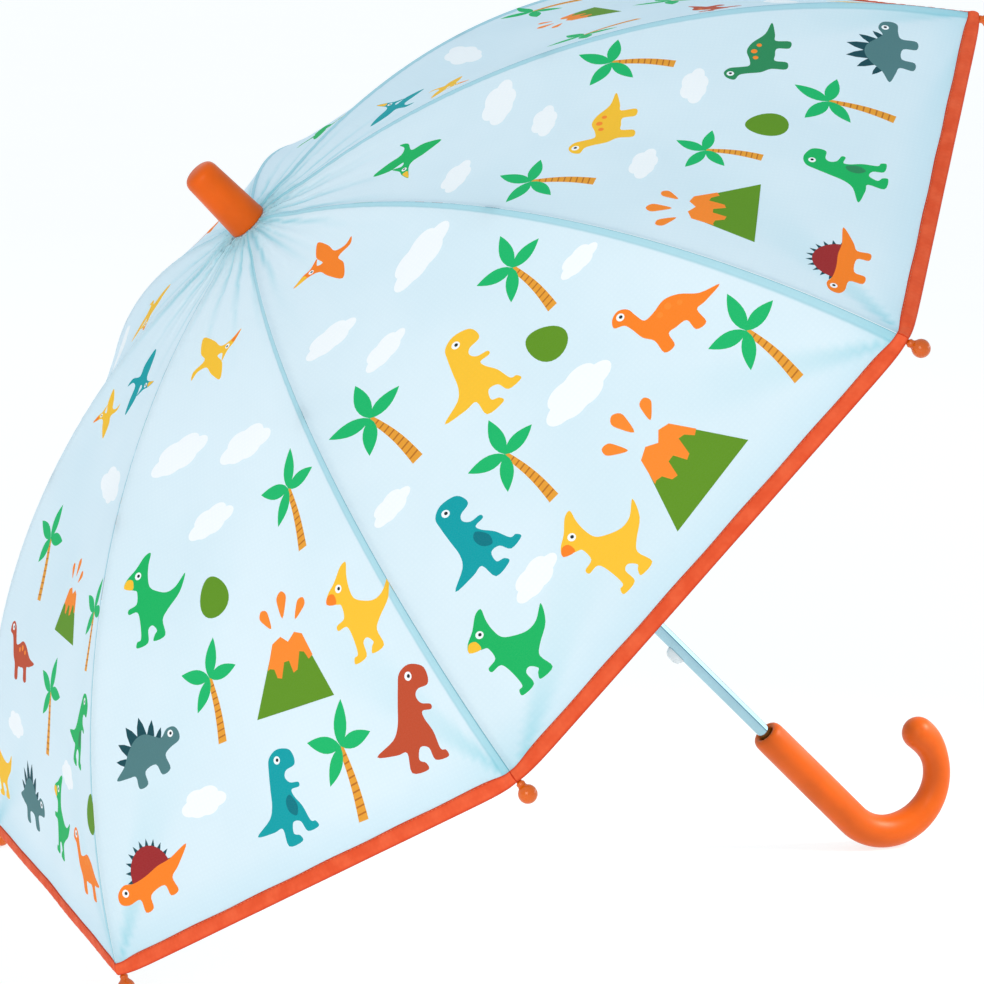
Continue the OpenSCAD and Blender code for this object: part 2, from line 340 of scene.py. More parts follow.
def chrome_material(name, rgb, rough, grain):
    m = Nodes(name)
    place = m.coords()
    haze = m.noise(place, 60, 2)
    lines = m.noise(place, grain, 2, 0.6)
    dark = linear([c * 0.98 for c in rgb])
    driven = {
        "Base Color": m.mix(m.span(haze, 0.35, 0.65, 0, 1), linear(rgb), dark),
        "Roughness": m.span(haze, 0.3, 0.7, rough * 0.8, rough * 1.25),
        "Normal": m.bump(lines, 0.01, 0.0001),
    }
    return m.done(m.shader(rough, driven, Metallic=1.0))


MAT = {
    "cloth": cloth_material("printed_cloth", True),
    "strap": cloth_material("strap_cloth", False),
    "binding": ribbon_material(),
    "thread": thread_material("binding_thread", (250, 128, 84)),
    "pale_thread": thread_material("pale_thread", (196, 228, 240)),
    "handle": plastic_material(
        "orange_gloss_plastic", (217, 90, 0), 0.4, Specular_IOR_Level=0.28,
        Subsurface_Weight=0.05, Subsurface_Scale=0.004,
    ),
    "cap": plastic_material(
        "orange_satin_plastic", (236, 97, 0), 0.34, Specular_IOR_Level=0.22,
        Subsurface_Weight=0.04, Subsurface_Scale=0.004,
    ),
    "tip": plastic_material(
        "orange_tip_plastic", (222, 98, 8), 0.18, Specular_IOR_Level=0.45,
        Subsurface_Weight=0.05, Subsurface_Scale=0.003,
    ),
    "white": plastic_material("white_plastic", (236, 237, 236), 0.4),
    "catch": plastic_material(
        "clear_white_plastic", (240, 246, 250), 0.3, Transmission_Weight=0.12, IOR=1.45
    ),
    # shaft: the blue tint in its chrome colour is a painted reflection of the blue canopy
    # around it
    "shaft": chrome_material("shaft_chrome", (160, 197, 212), 0.06, 500),
    "wire": chrome_material("rib_chrome", (214, 218, 224), 0.22, 900),
}


# ---------------- mesh helpers
def mesh_piece(name, points, faces, materials, face_mats=None):
    """A piece from points on the umbrella's axis, in mm."""
    mesh = bpy.data.meshes.new(name)
    mesh.from_pydata(row(points).tolist(), [], [list(map(int, f)) for f in faces])
    for mat in materials:
        mesh.materials.append(mat)
    mesh.polygons.foreach_set("use_smooth", [True] * len(mesh.polygons))
    if face_mats is not None:
        mesh.polygons.foreach_set("material_index", list(face_mats))
    mesh.update()
    return link(bpy.data.objects.new(name, mesh))


def finish_node(name, mat):
    """Gives a CAD node that stays its finer material."""
    slots = nodes[name].data.materials
    slots.clear()
    slots.append(MAT[mat])


def set_points(mesh, label, values):
    """One value for each of a mesh's points, for its material."""
    mesh.attributes.new(label, "FLOAT", "POINT").data.foreach_set(
        "value", values.astype(np.float32)
    )


def set_cut(mesh, places):
    """The UV map: each point's place on the flat cloth, in metres."""
    corner = np.zeros(len(mesh.loops), int)
    mesh.loops.foreach_get("vertex_index", corner)
    mesh.uv_layers.new(name="cut").data.foreach_set("uv", places[corner].ravel())


class Build:
    """Collects several closed forms, each with its own placing, into one mesh."""

    def __init__(self):
        self.points, self.faces, self.mats, self.flat = [], [], [], []

    def take(self, points, faces, mat=0, flat=False):
        n = sum(len(p) for p in self.points)
        self.points.append(np.asarray(points, float))
        self.faces += [[n + int(k) for k in f] for f in faces]
        self.mats += [mat] * len(faces)
        self.flat += [flat] * len(faces)

    def piece(self, name, materials):
        obj = mesh_piece(
            name, np.concatenate(self.points), self.faces, materials, self.mats
        )
        obj.data.polygons.foreach_set("use_smooth", [not f for f in self.flat])
        return obj


def rings_mesh(rings, cap_start=True, cap_end=True, closed=False):
    """Quads between successive rings of equal length, with flat or pointed ends."""
    rings = [np.asarray(r, float) for r in rings]
    n, count = len(rings[0]), len(rings)
    points = np.concatenate(rings)
    faces = []
    for a in range(count if closed else count - 1):
        b = (a + 1) % count
        for k in range(n):
            j = (k + 1) % n
            faces.append((a * n + k, a * n + j, b * n + j, b * n + k))
    if not closed and cap_start:
        faces.append(tuple(reversed(range(n))))
    if not closed and cap_end:
        faces.append(tuple(range((count - 1) * n, count * n)))
    return points, faces


def circle(n, r=1.0):
    a = np.linspace(0, 2 * math.pi, n, endpoint=False)
    return np.stack([r * np.cos(a), r * np.sin(a)], -1)


def arc(x, y, r, start, end, n):
    """n points (x, y) round part of a circle, from start to end in degrees."""
    a = np.radians(np.linspace(start, end, n))
    return [(x + r * math.cos(k), y + r * math.sin(k)) for k in a]


def tube(path, radius, n=12):
    """A round bar along a path that lies in one plane, y being across it."""
    path = np.asarray(path, float)
    d = np.gradient(path, axis=0)
    d /= np.linalg.norm(d, axis=1)[:, None]
    c = circle(n)
    rings = [
        p + radius * (c[:, :1] * np.cross(ACROSS, t) + c[:, 1:] * ACROSS)
        for p, t in zip(path, d)
    ]
    return rings_mesh(rings)


def lathe(profile, n):
    """Rings round the Z axis from (radius, height) pairs."""
    c = circle(n)
    rings = [np.c_[c * max(r, 1e-3), np.full(n, z)] for r, z in profile]
    return rings_mesh(rings)


def place_on_arc(points, angle):
    """Moves points drawn with +X along the rib and +Z out of the dome onto the arc."""
    c, s = math.cos(angle), math.sin(angle)
    turn = np.array([[c, 0, s], [0, 1, 0], [-s, 0, c]])
    return np.asarray(points, float) @ turn.T + arc_point(angle)


LAY_Z_ALONG_X = np.array([[0.0, 0, 1], [0, 1, 0], [-1, 0, 0]])


def plate(outline, y0, y1, edge=0.15):
    """A flat plate from an outline in x and z, from y0 to y1, with eased edges."""
    o = np.asarray(outline, float)
    mid = o.mean(0)
    inner = mid + (o - mid) * (1 - edge / np.linalg.norm(o - mid, axis=1).mean())
    e = edge * np.sign(y1 - y0)
    rings = [
        np.c_[shape[:, 0], np.full(len(o), y), shape[:, 1]]
        for shape, y in ((inner, y0), (o, y0 + e), (o, y1 - e), (inner, y1))
    ]
    return rings_mesh(rings)


def washer(r_in, r_out, y0, y1, n=20):
    """A ring across the rib, with its axis along y."""
    c = circle(n)
    edge = 0.12
    spec = (
        (r_in, y0), (r_out - edge, y0), (r_out, y0 + edge), (r_out, y1 - edge),
        (r_out - edge, y1), (r_in, y1),
    )
    rings = [np.c_[c[:, 0] * r, np.full(n, y), c[:, 1] * r] for r, y in spec]
    return rings_mesh(rings, closed=True)


# ---------------- the printed motifs
INKS = {
    "green": (24, 186, 108),
    "trunk": (236, 160, 52),
    "ring": (190, 112, 36),
    "olive": (98, 148, 32),
    "lava": (255, 140, 46),
    "white": (250, 252, 255),
    "orange": (255, 132, 36),
    "yellow": (255, 197, 52),
    "teal": (4, 160, 168),
    "deep": (0, 120, 132),
    "emerald": (22, 182, 98),
    "forest": (44, 140, 90),
    "slate": (82, 126, 130),
    "night": (22, 74, 84),
    "rust": (196, 78, 46),
    "wine": (160, 42, 44),
    "ink": (34, 42, 46),
}


def rounded(points, steps=4):
    """A closed smooth line through the points."""
    p = np.asarray(points, float)
    a, b, c, d = (np.roll(p, k, 0) for k in (1, 0, -1, -2))
    out = []
    for j in range(steps):
        u = j / steps
        out.append(
            0.5
            * (
                2 * b
                + (c - a) * u
                + (2 * a - 5 * b + 4 * c - d) * u**2
                + (3 * b - a - 3 * c + d) * u**3
            )
        )
    return np.stack(out, 1).reshape(-1, 2)


def dot(x, y, r, n=12):
    return circle(n, r) + (x, y)


def turned(points, degrees):
    a = math.radians(degrees)
    return points @ np.array([[math.cos(a), math.sin(a)], [-math.sin(a), math.cos(a)]])


def leaf(angle, length, width):
    x = np.linspace(0, 1, 9)
    y = width / 2 * np.sin(math.pi * x**0.85) ** 0.9
    pts = np.r_[np.c_[x * length, y], np.c_[x[-2:0:-1] * length, -y[-2:0:-1] * 0.9]]
    return turned(pts, angle)


def palm(_):
    """Leaves and ringed trunk; its place is where the leaves meet."""
    tall = 36

    def trunk(y):
        """The trunk's middle and half width at height y."""
        return 2.2 * math.sin(-y / tall * math.pi) * 0.6, 1.5 + 1.4 * (-y / tall)

    spine = [(y, *trunk(y)) for y in np.linspace(0, -tall, 8)]
    left = [(-w + x, y) for y, x, w in spine]
    right = [(w + x, y) for y, x, w in spine[::-1]]
    out = [("trunk", left + right)]
    for k in range(9):
        y = -4.5 - 3.5 * k
        x, w = trunk(y)
        w -= 0.15
        ring = [(x - w, y), (x + w, y + 0.5), (x + w, y - 0.3), (x - w, y - 0.8)]
        out.append(("ring", ring))
    for angle, length, width in ((72, 22, 8), (4, 19, 8), (158, 20, 8.5), (232, 20, 7.5)):
        out.append(("green", leaf(angle, length, width)))
    return out


def volcano(_):
    body = [(-27, -20), (27, -20), (12, 16), (7, 18), (2, 14), (-3, 18), (-9, 16)]
    lava = [
        (-9.4, 16.5), (-3, 19), (2, 15), (7, 19), (12.3, 16.8), (17.5, 4), (14.5, 2.5),
        (12, 7), (9, 8), (6, -1), (3, -2), (1, 5), (-2.5, 5), (-5.5, -3), (-8.5, -2),
        (-10, 3), (-13, 4), (-14.8, 3.4),
    ]
    out = [("olive", body), ("lava", lava)]
    drop = rounded([(-6, 0), (0, -2.4), (4.5, -3), (7, 0), (4.5, 3), (0, 2.4)], 3)
    for x, y, angle, size in ((-12, 30, 120, 1), (0, 35, 88, 1.15), (12, 30, 55, 0.95)):
        out.append(("lava", turned(drop * size, angle) + (x, y)))
    return out


def cloud(_):
    """The outline round six overlapping discs, drawn out sideways."""
    lobes = (
        (-8, -2, 5.5), (-3.5, 4, 6), (3.5, 3.5, 6.5), (9, -1.5, 5), (2.5, -4.5, 6),
        (-3.5, -4.5, 5.5),
    )
    a = np.linspace(0, 2 * math.pi, 54, endpoint=False)
    rays = np.c_[np.cos(a), np.sin(a)]
    reach = np.zeros(len(a))
    for x, y, r in lobes:
        b = rays @ (x, y)
        inside = b * b - (x * x + y * y - r * r)
        far_side = b + np.sqrt(np.maximum(inside, 0))
        reach = np.maximum(reach, np.where(inside > 0, far_side, 0))
    return [("white", rays * reach[:, None] * (1.22, 0.78))]


def egg(_):
    a = np.linspace(0, 2 * math.pi, 28, endpoint=False)
    return [("olive", np.c_[(10 - 2.2 * np.sin(a)) * np.cos(a), 12 * np.sin(a)])]


def eye(x, y, k=1.0):
    return [("white", dot(x, y, 2.3 * k)), ("ink", dot(x + 0.3, y, 1.05 * k, 8))]


def long_neck(ink):
    body = [
        (-27, 13), (-25, 18), (-20, 20), (-15.5, 17), (-14, 11), (-12, 5.5), (-6, 6),
        (2, 8.5), (10, 6), (19, -1), (30, -4), (19, -7), (13, -8), (13, -17), (6.5, -17),
        (5.5, -9.5), (-1, -9), (-6, -9.5), (-7, -17), (-13.5, -17), (-14, -8), (-18, -2),
        (-20, 6), (-22, 10.5),
    ]
    spots = [("deep" if ink == "teal" else "lava", dot(x, y, r)) for x, y, r in (
        (-4, 2.5, 1.7), (2, 4, 2.0), (8, 1.5, 1.6))]
    return [(ink, rounded(body))] + spots + eye(-21, 16)


def walker(ink):
    """An upright two-legged dinosaur."""
    body = [
        (17, 19), (15, 24), (7, 27), (0, 24.5), (-3, 18), (-6, 9), (-9, 0), (-14, -6),
        (-26, -11), (-14, -13.5), (-7.5, -14), (-8, -24), (2, -25), (2, -21.5), (-1.5, -19),
        (1, -13.5), (6, -15), (8, -21.5), (16, -22), (15.5, -18.5), (12.5, -17), (11, -8),
        (8, -1), (8, 3), (13.5, 2.5), (14, 5), (8.5, 7), (6.5, 11), (9, 14), (15.5, 14.5),
    ]
    belly = rounded([(5.5, 1), (8, -6), (5, -11), (1, -7), (1.5, -1)], 4)
    inner = {"teal": "deep", "emerald": "forest", "orange": "lava"}.get(ink, ink)
    return [(ink, rounded(body)), (inner, belly)] + eye(5, 21.5)


def crested(ink):
    """A two-legged dinosaur with a crest that points back."""
    body = [
        (-17, 15.5), (-14.5, 20), (-8, 24), (-1, 30), (3.5, 30.5), (1.5, 24), (0.5, 17),
        (1.5, 10), (7, 5.5), (14, 2.5), (21, 3.5), (29, 9), (24, -1), (14, -8), (9.5, -13),
        (10.5, -22.5), (1.5, -23), (2.5, -19.5), (4.5, -17.5), (1.5, -13.5), (-2, -15),
        (-3, -22.5), (-11.5, -23), (-11, -19.5), (-8, -18.5), (-7.5, -9), (-9, -2),
        (-15, -1.5), (-15, 1.5), (-9, 3), (-8, 10), (-10.5, 12),
    ]
    beak = {"yellow": "orange", "emerald": "yellow"}.get(ink)
    out = [(ink, rounded(body))]
    if beak:
        bill = [(-17.2, 15.4), (-14.4, 19.4), (-10.5, 18), (-11, 12.6)]
        out.append((beak, rounded(bill, 3)))
    return out + eye(-6.5, 19.5)


def plated(ink):
    """A four-legged dinosaur with plates along its back."""
    out = []
    tooth = np.array([(-3.5, -3.6), (7.5, 0), (-3.5, 3.6), (-4.5, 0)])
    for x, y, angle, size in (
        (-20, 3, 150, 0.7), (-14.5, 9.5, 128, 0.95), (-7, 14, 105, 1.15),
        (1.5, 14.5, 82, 1.15), (9, 10.5, 62, 0.9), (14, 5, 48, 0.65),
    ):
        out.append(("night", turned(rounded(tooth * size, 2), angle) + (x, y)))
    body = [
        (29, -1), (27, 4), (21, 5.5), (15, 2.5), (10, 6), (3, 11), (-5, 11.5), (-13, 7),
        (-20, 0), (-29, -5), (-20, -8), (-14, -10), (-14.5, -18), (-7, -18.5), (-5.5, -10.5),
        (4, -10.5), (6, -18.5), (13.5, -18), (13.5, -9), (19, -6.5), (27, -5.5),
    ]
    return out + [(ink, rounded(body))] + eye(22.5, 1.5)


def sail_back(ink):
    """A four-legged dinosaur with a spiny sail."""
    out = []
    spike = np.array([(-3, -2.1), (3.6, 0), (-3, 2.1)])
    for k in range(11):
        angle = 172 - 16.4 * k
        t = math.radians(angle)
        place = (15.5 * math.cos(t), 17.5 * math.sin(t))
        out.append(("night", turned(spike, angle) + place))
    a = np.linspace(math.pi, 0, 18)
    fan = np.r_[np.c_[15.5 * np.cos(a), 17 * np.sin(a)], [(8, -3), (-8, -3)]]
    out.append(("wine", fan))
    body = [
        (-29, -5), (-28, 0.5), (-22, 3.5), (-15, 1.5), (-5, 1.5), (6, 3), (16, 3), (31, 5.5),
        (20, -3), (13, -7), (13.5, -15), (7, -15.5), (5.5, -8.5), (-6, -9.5), (-8, -16.5),
        (-14.5, -16.5), (-15, -8.5), (-24, -8),
    ]
    return out + [(ink, rounded(body))] + eye(-23, -1)


def flyer(ink):
    body = [
        (-20, 1), (-12, 5.5), (-6, 7), (1, 12), (-1, 5.5), (3, 4), (1, 14), (6, 26),
        (11, 15), (13, 5), (20, 2), (26, 5), (23, -1), (13, -3), (14, -12), (9, -24),
        (2, -12), (-1, -3), (-7, 0.5),
    ]
    beak = "yellow" if ink != "yellow" else "orange"
    return [
        (ink, rounded(body)),
        (beak, rounded([(-19.6, 1), (-12, 5), (-9.8, 2.6), (-11, 1.2)], 3)),
    ] + eye(-6, 3.6, 0.8)


# kind, ink, place along the gore, place across it, size, turn in degrees
LAYOUTS = {
    "A": [
        (flyer, "orange", 96, -3, 0.85, -15), (cloud, 0, 155, 29, 1.3, 4),
        (cloud, 0, 146, -30, 0.95, -6), (cloud, 0, 182, -19, 0.85, 3),
        (palm, 0, 211, 50, 1.0, -7), (palm, 0, 208, -50, 1.12, -2),
        (walker, "yellow", 238, -4, 0.98, -6), (egg, 0, 258, 30, 0.95, 20),
        (palm, 0, 284, -24, 1.0, -3), (cloud, 0, 290, 20, 1.25, -3),
        (long_neck, "orange", 300, 76, 0.92, -14), (walker, "teal", 302, -66, 0.92, 6),
        (palm, 0, 337, 92, 1.0, -4), (volcano, 0, 356, 24, 1.0, 4),
        (cloud, 0, 340, -60, 0.85, 5), (crested, "yellow", 358, -29, 0.9, 0),
        (crested, "emerald", 356, -93, 0.86, -6),
        (cloud, 0, 240, 71, 0.72, -6), (cloud, 0, 256, -77, 0.75, 5),
    ],
    "B": [
        (flyer, "yellow", 92, 1, 0.85, 200), (cloud, 0, 150, -24, 1.2, 5),
        (cloud, 0, 168, 24, 1.15, -4), (cloud, 0, 201, -4, 1.0, 2),
        (palm, 0, 209, 52, 1.0, 6), (crested, "emerald", 228, -52, 0.92, -4),
        (egg, 0, 243, -8, 0.95, 8), (volcano, 0, 300, 30, 0.95, -8),
        (crested, "yellow", 292, 80, 0.92, 4), (palm, 0, 283, -21, 0.95, -4),
        (plated, "slate", 303, -72, 0.82, 6),
        (cloud, 0, 340, -46, 0.9, -5), (palm, 0, 347, 47, 1.05, -4),
        (walker, "rust", 352, 92, 0.98, -6), (walker, "teal", 358, 3, 0.9, 2),
        (sail_back, "orange", 362, -92, 0.9, 4),
    ],
    "C": [
        (flyer, "emerald", 106, -6, 0.85, 20), (cloud, 0, 152, 30, 1.15, 3),
        (cloud, 0, 143, -32, 0.9, -5), (palm, 0, 190, -46, 1.0, -6),
        (cloud, 0, 184, 8, 0.85, 6), (palm, 0, 212, 55, 1.0, -4),
        (long_neck, "yellow", 220, 2, 0.92, 8), (cloud, 0, 248, -33, 0.85, -3),
        (volcano, 0, 296, -68, 0.9, 6), (egg, 0, 306, 6, 0.95, 10),
        (long_neck, "forest", 292, 66, 0.88, 4), (palm, 0, 278, -18, 0.85, -6),
        (cloud, 0, 262, 34, 0.9, 4), (palm, 0, 334, 34, 1.0, -8),
        (plated, "slate", 356, 84, 0.9, 4), (walker, "emerald", 352, -22, 0.86, 0),
        (sail_back, "orange", 360, -92, 0.84, -4),
    ],
    "D": [
        (flyer, "teal", 98, 4, 0.85, 190), (flyer, "yellow", 128, -28, 0.66, 30),
        (cloud, 0, 158, 27, 1.2, -4), (palm, 0, 205, -44, 1.0, 4),
        (volcano, 0, 234, 18, 0.72, 0), (palm, 0, 222, 68, 0.9, 6),
        (long_neck, "rust", 276, -58, 0.86, 8), (palm, 0, 282, 5, 1.0, 0),
        (walker, "emerald", 286, 72, 0.82, -8),
        (crested, "yellow", 350, -98, 0.86, 6), (plated, "slate", 352, -30, 0.88, 0),
        (crested, "emerald", 348, 32, 0.86, -4), (long_neck, "orange", 356, 92, 0.9, 4),
        (cloud, 0, 318, -62, 0.9, 3), (cloud, 0, 317, 50, 0.85, -5),
        (egg, 0, 322, 108, 0.9, 0),
    ],
}
GORE_LAYOUT = "CABDBACD"  # gores 1 to 8


def motif_polygons(layout):
    """Each motif's outlines as (ink, points in s and t), the later ones on top."""
    out = []
    for kind, ink, s0, t0, size, turn in LAYOUTS[layout]:
        a = math.radians(turn)
        c, s = math.cos(a), math.sin(a)
        for colour, shape in kind(ink):
            x, y = np.asarray(shape, float).T * size
            p = np.c_[s0 - (x * s + y * c), t0 + (x * c - y * s)]
            q = np.roll(p, -1, 0)
            if (p[:, 0] * q[:, 1] - q[:, 0] * p[:, 1]).sum() < 0:
                p = p[::-1]  # the triangulation needs its outlines anticlockwise
            out.append((colour, p))
    return out


# ---------------- the canopy
S_START = CLOTH_R * math.asin((START_R - PIVOT_R) / CLOTH_R)
S_RIM = CLOTH_R * rib_end + RIM_OUT
HEM_BOW = 1.7
BAND = 5.0  # the seam allowance's width at the rim
ALLOWANCE = 1.4  # and at the crown
CROWN_LIFT = 1.75  # the cloth climbs over the hub to the ferrule's foot


def half_width(s):
    return (PIVOT_R + CLOTH_R * np.sin(s / CLOTH_R)) * math.sin(HALF_STEP)


RIM_HALF = float(half_width(S_RIM))
rng = np.random.default_rng(11)
GORE_WAVES = rng.uniform(0, 2 * math.pi, (RIBS + 1, 24))


def smooth(x, a, b):
    u = np.clip((x - a) / (b - a), 0, 1)
    return u * u * (3 - 2 * u)


def seam_band(s):
    """Width of the seam allowance that shows beside a seam, in mm."""
    return ALLOWANCE + (BAND - ALLOWANCE) * np.clip(s / S_RIM, 0, 1) ** 0.8


def crown_folds(g, s, t):
    """The creases that gather round the ferrule."""
    w = GORE_WAVES[g]
    turn = t / half_width(s)
    wave = np.sin(3.2 * math.pi * turn + w[4])
    wave = wave + 0.6 * np.sin(7.1 * math.pi * turn + w[16])
    return 0.85 * wave * np.exp(-np.maximum(s - 12, 0) / 40)


def tip_fans(g, s, t):
    """For each of the gore's two tips: the distance along it and straight to it, and the
    waves of the fan that opens from it."""
    w = GORE_WAVES[g]
    for k, side in enumerate((-1, 1)):
        along, across = S_RIM - s, RIM_HALF - side * t
        phi = np.arctan2(across, along)
        fan = np.sin(phi * 6 + w[k]) + 0.35 * np.sin(phi * 11 + w[k + 2])
        yield along, np.hypot(along, across), fan


def painted_fold_shade(g, s, t):
    """Painted shade where gathered cloth lies in creases, near the crown and near the tips,
    0 to 1.
    """
    edge = half_width(s) - np.abs(t)
    out = 0.62 * smooth(-crown_folds(g, s, t), 0.03, 0.7)
    out = np.maximum(out, 0.45 * np.exp(-np.maximum(s - 12, 0) / 12))
    for _, far, fan in tip_fans(g, s, t):
        pull = smooth(-fan, 0.2, 1.35) * np.exp(-far / 38) * smooth(edge, 0, 6)
        out = np.maximum(out, 0.8 * pull)
        out = np.maximum(out, 0.3 * np.exp(-far / 16))
    return np.clip(out, 0, 1)


def drape(g, s, t):
    """How far the cloth stands off the plain strip between two ribs, in mm."""
    w = GORE_WAVES[g]
    half = half_width(s)
    u = np.clip(np.abs(t) / half, 0, 1)
    edge = np.maximum(half - np.abs(t), 0)
    v = np.clip(s / S_RIM, 0, 1)
    free = 1 - u**2
    d = -(3.2 * np.sin(math.pi * v) ** 0.8 + 0.5) * free
    d = d + 0.4 * np.exp(-((edge / 1.6) ** 2))
    wide = seam_band(s)
    d = d + 0.2 * smooth(edge, wide * 1.15, wide * 0.85) * (t > 0) * smooth(edge, 0, 0.8)
    d = d + CROWN_LIFT * smooth(s, 34, 10)
    # soft pulls that run from each tip into the cloth
    for along, far, fan in tip_fans(g, s, t):
        calm = smooth(along, 0, 26) * 0.75 + 0.25
        room = smooth(far, 4, 20) * smooth(edge, 0, 7)
        d = d + 1.1 * calm * fan * np.exp(-far / 42) * room
    # creases that gather at the crown
    d = d + crown_folds(g, s, t) * free
    # puckers beside the seams, and slow waves over the whole gore
    d = d + 0.16 * np.exp(-edge / 5) * smooth(edge, 0, 2) * np.sin(
        s * 0.62 + w[5] + 1.5 * np.sin(s * 0.083 + w[6])
    )
    for k in range(5):
        a, b = 0.018 + 0.011 * k, 0.031 + 0.009 * ((k * 2) % 5)
        quiet = smooth(v, 0.1, 0.4) * (1 - 0.7 * smooth(v, 0.9, 1.0))
        d = d + 0.3 * free * np.sin(a * s + b * t + w[8 + k]) * quiet
    return d


def gore_frame(g):
    """The way out along the middle of gore g, and the way across it."""
    return spin(2 * HALF_STEP * g).T[:2]


def cloth_point(g, s, t, off=0.0):
    """The cloth's points on gore g, at s along it and t across it, off mm further out."""
    s, t = np.asarray(s, float), np.asarray(t, float)
    m, e = gore_frame(g)
    up = np.array([0, 0, 1.0])
    th = s / CLOTH_R
    base = (
        ((PIVOT_R + CLOTH_R * np.sin(th)) * math.cos(HALF_STEP))[..., None] * m
        + t[..., None] * e
        + (CLOTH_R * np.cos(th) - ARC_R)[..., None] * up
    )
    n = np.sin(th)[..., None] * m + (math.cos(HALF_STEP) * np.cos(th))[..., None] * up
    n /= np.linalg.norm(n, axis=-1)[..., None]
    lift_by = np.asarray(off, float) + drape(g, s, t)
    return base + lift_by[..., None] * n


def cloth_normal(g, s, t):
    h = 0.4
    ds = cloth_point(g, s + h, t) - cloth_point(g, s - h, t)
    dt = cloth_point(g, s, t + h) - cloth_point(g, s, t - h)
    n = np.cross(ds, dt)
    return n / np.linalg.norm(n, axis=-1)[..., None]


def spot_on(g, s, t, off):
    """One point over the cloth."""
    return cloth_point(g, np.array([s]), np.array([t]), off=off)[0]


def normal_on(g, s, t):
    return cloth_normal(g, np.array([s]), np.array([t]))[0]


def rim_s(t):
    """Where the rim lies along the gore: it bows in a little between the tips."""
    return S_RIM + HEM_BOW * (1 - np.exp((np.abs(t) - RIM_HALF) * 0.24 / HEM_BOW))


def row_places(s, fine):
    """How far from the middle the points of one row across a gore lie, on either side."""
    half = float(half_width(s))
    inside = [e for e in (0.9, 2.0, 3.4, 5.4) if e < half - 1.0]
    rest = half - (inside[-1] if inside else 0)
    n = max(1, round(rest / (min(3.6, 0.8 + 0.035 * s) if fine else 4.6)))
    return [half - e for e in inside] + [rest * j / n for j in range(1, n)]


def gore_points():
    """Outline, inner points and middle line of a whole gore, the same for every gore."""
    near, far = S_START + 84, S_RIM - 60
    rows = np.r_[
        np.linspace(S_START, near, 28, endpoint=False),
        np.linspace(near, far, 50, endpoint=False),
        np.linspace(far, S_RIM, 20),
    ]
    places = [row_places(s, not near < s < far) for s in rows]
    grid = [
        (s, side * t)
        for s, ts in zip(rows[1:-1], places[1:-1])
        for side in (1, -1)
        for t in ts
    ]
    edges = [(s, float(half_width(s))) for s in rows]
    crown, rim = (
        sorted({-t for t in ts} | {0.0} | set(ts)) for ts in (places[0], places[-1])
    )
    outline = (
        [(s, -half) for s, half in edges]
        + [(float(rim_s(t)), t) for t in rim]
        + edges[::-1]
        + [(rows[0], t) for t in crown[::-1]]
    )
    return outline, grid, [(s, 0.0) for s in rows[1:-1]]


def gore_mesh(g):
    """Points (s, t), triangles and the ink of each triangle, for one gore."""
    outline, grid, middle = gore_points()
    motifs = motif_polygons(GORE_LAYOUT[g - 1])
    points = list(outline) + list(grid) + list(middle)
    n, inner = len(outline), len(outline) + len(grid)
    faces = [list(range(n))]
    rim_middle, crown_middle = (k for k, p in enumerate(outline) if p[1] == 0)
    chain = [crown_middle, *range(inner, inner + len(middle)), rim_middle]
    edges = list(zip(chain, chain[1:]))
    for _, shape in motifs:
        k = len(points)
        points += [tuple(p) for p in shape]
        faces.append(list(range(k, k + len(shape))))
    verts, _, tris, _, _, origin = delaunay_2d_cdt(
        [Vector(p) for p in points], edges, faces, 0, 1e-4
    )
    kept, inks = [], []
    for tri, ids in zip(tris, origin):
        if 0 not in ids:
            continue
        kept.append(tri)
        top = max(ids)
        inks.append(motifs[top - 1][0] if top else None)
    return np.array([tuple(v) for v in verts]), kept, inks


def flatten(piece):
    """Gives the piece a mesh of its own."""
    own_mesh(piece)


def half_names(g):
    """(side of the gore's middle line, rib, letter) of a gore's two halves."""
    return ((-1, g, "b"), (1, g % RIBS + 1, "a"))


def flat_area(points, tris):
    """Area in the gore's own s and t, in square mm."""
    p = points[np.array(tris)]
    a, b = p[:, 1] - p[:, 0], p[:, 2] - p[:, 0]
    return float(np.abs(a[:, 0] * b[:, 1] - a[:, 1] * b[:, 0]).sum() / 2)


def make_cloth(g):
    """The two halves of gore g, one surface each, with the print in the mesh."""
    st, tris, inks = gore_mesh(g)
    made = {}
    for side, rib, letter in half_names(g):
        pick = [k for k, tri in enumerate(tris) if side * st[list(tri), 1].mean() > 0]
        used = sorted({v for k in pick for v in tris[k]})
        index = {v: n for n, v in enumerate(used)}
        local = st[used]
        # faces look outwards: s, then t, gives an outward normal
        faces = []
        for k in pick:
            a, b, c = (index[v] for v in tris[k])
            u, w = local[b] - local[a], local[c] - local[a]
            faces.append((a, b, c) if u[0] * w[1] - u[1] * w[0] > 0 else (a, c, b))
        name = f"cloth_{rib}{letter}"
        s, t = local.T
        obj = mesh_piece(name, cloth_point(g, s, t), faces, [MAT["cloth"]])
        mesh = obj.data
        normals = way(cloth_normal(g, s, t))
        mesh.normals_split_custom_set_from_vertices(normals.tolist())
        set_cut(mesh, local[:, ::-1] / 1000)
        ink = mesh.attributes.new("ink", "FLOAT_COLOR", "CORNER")
        shade = [linear(INKS[inks[k]]) if inks[k] else (0.6, 0.8, 0.9, 0.0) for k in pick]
        ink.data.foreach_set("color", np.repeat(np.array(shade, float), 3, 0).ravel())
        edge = half_width(s) - np.abs(t)
        # the allowance lies to one side of the seam only
        set_points(mesh, "seam", edge / seam_band(s) if side > 0 else edge + ALLOWANCE)
        set_points(mesh, "rim", rim_s(t) - s)
        set_points(mesh, "fold_painted_shade", painted_fold_shade(g, s, t))
        made[side] = (obj, rib, letter, flat_area(local, faces) / 1e6)
    return made


